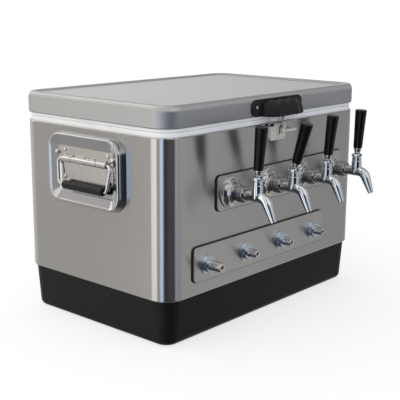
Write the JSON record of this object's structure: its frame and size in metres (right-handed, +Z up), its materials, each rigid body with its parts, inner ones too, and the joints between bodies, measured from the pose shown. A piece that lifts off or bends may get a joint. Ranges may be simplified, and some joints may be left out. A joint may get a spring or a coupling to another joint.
{
  "type": "jockey box beer cooler",
  "caption": "Steel-clad insulated chest with lever taps and beer inlets on the front, a cold plate inside, a hinged lid and end handles.",
  "frame": {"origin": "middle of the flat underside of the base, on the surface that the cooler stands on", "axes": "+X along the length to the right as seen from the taps, -Y out of the front where the taps are, +Z up"},
  "size_m": [0.6476, 0.5091, 0.435],
  "materials": {
    "brushed_steel": "brushed grain that runs round the body, satin",
    "plate_steel": "horizontal brushed grain, satin",
    "chrome": "polished chrome plate",
    "nickel": "bright nickel plate",
    "zinc": "clear zinc plate with a blue cast",
    "stainless": "turned stainless steel",
    "black_base": "fine satin texture",
    "white_liner": "smooth moulded white",
    "foam": "closed-cell insulation",
    "black_rubber": "dull black rubber",
    "black_handle": "satin black moulding",
    "cast_aluminium": "sand-cast aluminium",
    "clear_hose": "milky vinyl",
    "grey_rubber": "soft grey seal"
  },
  "bodies": {
    "chest": {"base_skirt": "black_base", "body_wrap": "brushed_steel", "body_foam": "foam", "inner_liner": "white_liner", "faucet_plate_pad": "black_rubber", "faucet_plate": "plate_steel", "inlet_plate_pad": "black_rubber", "inlet_plate": "plate_steel", "tap_shanks": "chrome", "tap_flanges": "chrome", "tap_coupling_nuts": "chrome", "shank_lock_nuts": "zinc", "inlet_fittings": "stainless", "inlet_washers": "zinc", "inlet_nuts": "zinc", "inlet_back_nuts": "zinc", "cold_plate": "cast_aluminium", "inlet_hoses": "clear_hose", "outlet_hoses": "clear_hose", "left_handle_dish": "brushed_steel", "left_handle_bracket": "nickel", "right_handle_dish": "brushed_steel", "right_handle_bracket": "nickel", "handle_rivets": "nickel", "hinge_body_leaves": "stainless", "hinge_pins": "stainless", "latch_plate": "nickel", "latch_screws": "nickel", "drain_fitting": "black_base", "drain_nut": "black_base", "tap_1_faucet": "chrome", "tap_2_faucet": "chrome", "tap_3_faucet": "chrome", "tap_4_faucet": "chrome"},
    "lid": {"lid_skin": "brushed_steel", "lid_liner": "white_liner", "lid_foam": "foam", "lid_gasket": "grey_rubber", "lid_handle": "black_handle", "lid_handle_screws": "nickel", "latch_strike": "nickel", "hinge_lid_leaves": "stainless"},
    "left_bail": {"left_bail": "nickel", "left_grip": "black_rubber"},
    "right_bail": {"right_bail": "nickel", "right_grip": "black_rubber"},
    "latch": {"latch_lever": "nickel"},
    "drain_cap": {"drain_cap": "black_base"},
    "tap_1": {"tap_1_lever": "chrome", "tap_1_handle": "black_handle"},
    "tap_2": {"tap_2_lever": "chrome", "tap_2_handle": "black_handle"},
    "tap_3": {"tap_3_lever": "chrome", "tap_3_handle": "black_handle"},
    "tap_4": {"tap_4_lever": "chrome", "tap_4_handle": "black_handle"}
  },
  "joints": [
    {"name": "lid_hinge", "type": "hinge", "parent": "chest", "child": "lid", "pos_m": [0, 0.2015, 0.394], "axis": [-1, 0, 0], "range_deg": [0, 95]},
    {"name": "tap_1_pull", "type": "hinge", "parent": "chest", "child": "tap_1", "pos_m": [-0.1355, -0.2615, 0.2969], "axis": [1, 0, 0], "range_deg": [-4, 31]},
    {"name": "tap_2_pull", "type": "hinge", "parent": "chest", "child": "tap_2", "pos_m": [-0.0245, -0.2615, 0.2969], "axis": [1, 0, 0], "range_deg": [-16, 19]},
    {"name": "tap_3_pull", "type": "hinge", "parent": "chest", "child": "tap_3", "pos_m": [0.0865, -0.2615, 0.2969], "axis": [1, 0, 0], "range_deg": [-6, 29]},
    {"name": "tap_4_pull", "type": "hinge", "parent": "chest", "child": "tap_4", "pos_m": [0.1975, -0.2615, 0.2969], "axis": [1, 0, 0], "range_deg": [-3, 32]},
    {"name": "left_bail_swing", "type": "hinge", "parent": "chest", "child": "left_bail", "pos_m": [-0.3117, 0, 0.3193], "axis": [0, 1, 0], "range_deg": [0, 84]},
    {"name": "right_bail_swing", "type": "hinge", "parent": "chest", "child": "right_bail", "pos_m": [0.3117, 0, 0.3193], "axis": [0, -1, 0], "range_deg": [0, 84]},
    {"name": "latch_turn", "type": "hinge", "parent": "chest", "child": "latch", "pos_m": [0.019, -0.1955, 0.363], "axis": [0, 1, 0], "range_deg": [0, 80]},
    {"name": "drain_cap_pull", "type": "slide", "parent": "chest", "child": "drain_cap", "axis": [1, 0, 0], "range_m": [0, 0.018]}
  ]
}
